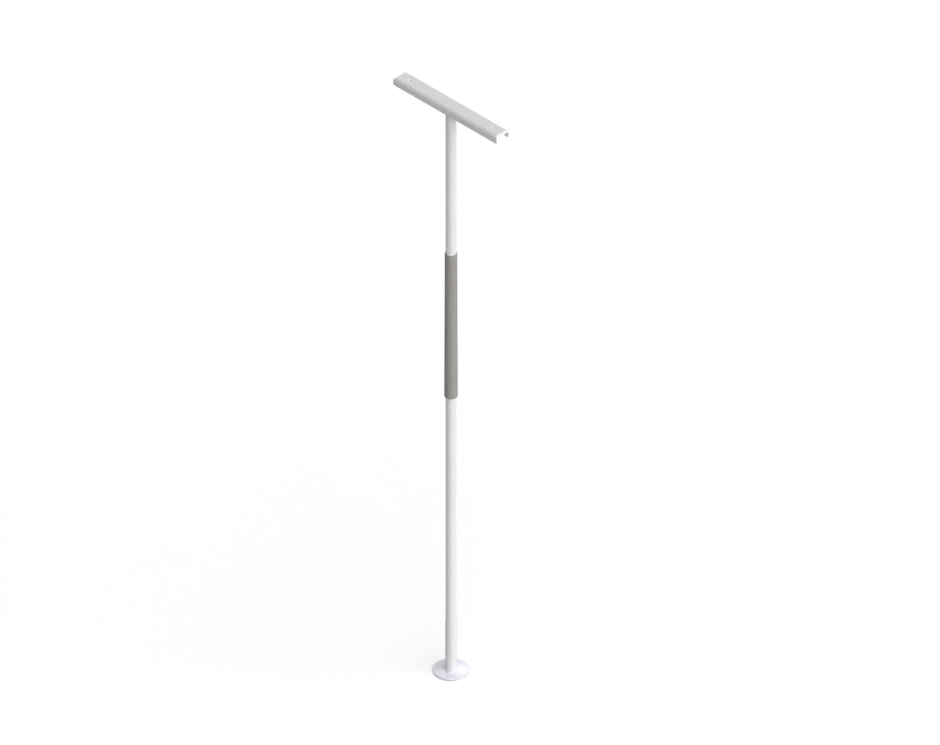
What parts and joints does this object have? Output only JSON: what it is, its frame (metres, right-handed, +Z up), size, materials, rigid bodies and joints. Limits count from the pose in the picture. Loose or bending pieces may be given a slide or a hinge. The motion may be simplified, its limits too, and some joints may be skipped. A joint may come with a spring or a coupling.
{
  "type": "transfer pole",
  "caption": "Floor-to-ceiling transfer pole: round floor plate with covered screw jack, slim pole with tapered hand grip, and a swivelling, sliding channel rail for the ceiling.",
  "frame": {"origin": "on the floor, at the centre of the round floor plate's rubber pad, under the pole's axis", "axes": "+Z up the pole's axis, +X along the ceiling rail, +Y across the rail"},
  "size_m": [0.508, 0.129, 2.4185],
  "materials": {
    "plate_enamel": "gloss",
    "sleeve_enamel": "gloss",
    "tube_enamel": "gloss",
    "rail_metal": "satin",
    "grip_rubber": "matte",
    "foot_rubber": "matte",
    "spindle_steel": "satin",
    "nut_steel": "satin",
    "zinc_steel": "satin",
    "insert_steel": "satin",
    "washer_bronze": "satin",
    "bush_plastic": "matte",
    "block_plastic": "matte"
  },
  "bodies": {
    "base": {"floor_plate": "plate_enamel", "floor_pad": "foot_rubber", "spindle_screw": "zinc_steel", "jack_spindle": "spindle_steel", "spindle_locknut": "zinc_steel", "spindle_stop": "bush_plastic", "stop_screw": "zinc_steel"},
    "cover": {"cover_sleeve": "sleeve_enamel"},
    "pole": {"lower_tube": "tube_enamel", "upper_tube": "tube_enamel", "joint_spigot": "insert_steel", "joint_screws": "zinc_steel", "grip_sleeve": "grip_rubber", "foot_insert": "insert_steel", "thrust_washer": "washer_bronze", "head_plug": "insert_steel", "swivel_washer": "bush_plastic", "swivel_screw": "zinc_steel"},
    "jack_nut": {"jack_nut": "nut_steel"},
    "head": {"head_block": "block_plastic", "head_pad": "foot_rubber"},
    "rail": {"ceiling_rail": "rail_metal"}
  },
  "joints": [
    {"name": "height_adjust", "type": "slide", "parent": "base", "child": "pole", "axis": [0, 0, 1], "range_m": [-0.05, 0.05]},
    {"name": "nut_turn", "type": "hinge", "parent": "pole", "child": "jack_nut", "pos_m": [0, 0, 0.0905], "axis": [0, 0, 1], "range_deg": [-4505, 4505]},
    {"name": "cover_lift", "type": "slide", "parent": "base", "child": "cover", "axis": [0, 0, 1], "range_m": [0, 0.16]},
    {"name": "head_swivel", "type": "hinge", "parent": "pole", "child": "head", "pos_m": [0, 0, 2.402], "axis": [0, 0, 1], "continuous": true},
    {"name": "rail_slide", "type": "slide", "parent": "head", "child": "rail", "axis": [1, 0, 0], "range_m": [-0.15, 0.15]}
  ],
  "couplings": [
    {"joint": "nut_turn", "follows": "height_adjust", "rad_per_m": 1570.8}
  ]
}
